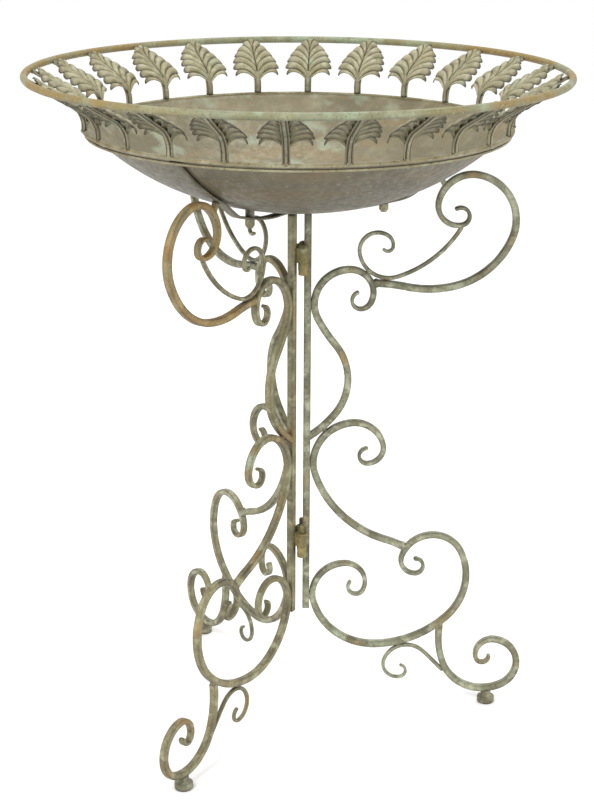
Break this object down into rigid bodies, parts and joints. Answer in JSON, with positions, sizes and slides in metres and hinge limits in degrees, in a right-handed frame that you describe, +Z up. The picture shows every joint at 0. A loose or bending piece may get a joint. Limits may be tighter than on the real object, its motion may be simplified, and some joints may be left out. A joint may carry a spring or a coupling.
{
  "type": "bird bath",
  "caption": "Wrought-iron bird bath: folding scrolled legs on pin hinges carry a lift-off shallow basin with a leaf gallery and a round top ring.",
  "frame": {"origin": "on the floor under the axis of the basin", "axes": "+Z up along the basin's axis, +X out along leg 1; leg 2 stands at -124.5 degrees and leg 3 at 119.5 degrees"},
  "size_m": [0.5999, 0.6, 0.7725],
  "materials": {
    "leg_1_paint": "antique verdigris paint over wrought iron, sage green with ochre rust wash",
    "leg_2_paint": "antique verdigris paint, olive and ochre-brown rust wash",
    "leg_3_paint": "antique verdigris paint, olive-sage with rust wash",
    "foot_paint": "matt verdigris paint, scuffed",
    "hinge_paint": "brassy olive antique paint",
    "basin_paint": "matt grey-taupe patina with soft streaks, mint patches inside",
    "leaf_paint": "khaki-beige antique paint with dark veins",
    "stem_paint": "grey-taupe antique paint",
    "ring_paint": "pale mint and ochre antique paint",
    "cradle_paint": "grey-taupe antique paint"
  },
  "bodies": {
    "leg_1": {"leg_1_post": "leg_1_paint", "leg_1_upper_scroll": "leg_1_paint", "leg_1_arm": "leg_1_paint", "leg_1_arm_brace": "leg_1_paint", "leg_1_middle_scroll": "leg_1_paint", "leg_1_lower_scroll": "leg_1_paint", "leg_1_foot_scroll": "leg_1_paint", "leg_1_foot_brace": "leg_1_paint", "leg_1_foot_pad": "foot_paint", "hinge_2_upper_fixed_knuckle": "hinge_paint", "hinge_2_lower_fixed_knuckle": "hinge_paint", "hinge_3_upper_fixed_knuckle": "hinge_paint", "hinge_3_lower_fixed_knuckle": "hinge_paint"},
    "leg_2": {"leg_2_post": "leg_2_paint", "leg_2_upper_scroll": "leg_2_paint", "leg_2_arm": "leg_2_paint", "leg_2_arm_brace": "leg_2_paint", "leg_2_middle_scroll": "leg_2_paint", "leg_2_lower_scroll": "leg_2_paint", "leg_2_foot_scroll": "leg_2_paint", "leg_2_foot_brace": "leg_2_paint", "leg_2_foot_pad": "foot_paint", "hinge_2_upper_swing_knuckle": "hinge_paint", "hinge_2_upper_pin": "hinge_paint", "hinge_2_lower_swing_knuckle": "hinge_paint", "hinge_2_lower_pin": "hinge_paint"},
    "leg_3": {"leg_3_post": "leg_3_paint", "leg_3_upper_scroll": "leg_3_paint", "leg_3_arm": "leg_3_paint", "leg_3_arm_brace": "leg_3_paint", "leg_3_middle_scroll": "leg_3_paint", "leg_3_lower_scroll": "leg_3_paint", "leg_3_foot_scroll": "leg_3_paint", "leg_3_foot_brace": "leg_3_paint", "leg_3_foot_pad": "foot_paint", "hinge_3_upper_swing_knuckle": "hinge_paint", "hinge_3_upper_pin": "hinge_paint", "hinge_3_lower_swing_knuckle": "hinge_paint", "hinge_3_lower_pin": "hinge_paint"},
    "basin_set": {"basin": "basin_paint", "rim_wire": "ring_paint", "cradle_ring": "cradle_paint", "top_ring": "ring_paint", "strap_1": "cradle_paint", "strap_2": "cradle_paint", "strap_3": "cradle_paint", "cradle_pegs": "cradle_paint", "cradle_spacers": "cradle_paint", "leaves_1": "leaf_paint", "leaves_2": "leaf_paint", "leaves_3": "leaf_paint", "leaves_4": "leaf_paint", "stems_1": "stem_paint", "stems_2": "stem_paint", "stems_3": "stem_paint", "stems_4": "stem_paint"}
  },
  "joints": [
    {"name": "leg_2_fold", "type": "hinge", "parent": "leg_1", "child": "leg_2", "pos_m": [0.00596, -0.01133, 0.38], "axis": [0, 0, 1], "range_deg": [0, 120]},
    {"name": "leg_3_fold", "type": "hinge", "parent": "leg_1", "child": "leg_3", "pos_m": [0.00645, 0.01106, 0.38], "axis": [0, 0, -1], "range_deg": [0, 115]},
    {"name": "basin_lift", "type": "slide", "parent": "leg_1", "child": "basin_set", "axis": [0, 0, 1], "range_m": [0, 0.15]}
  ]
}
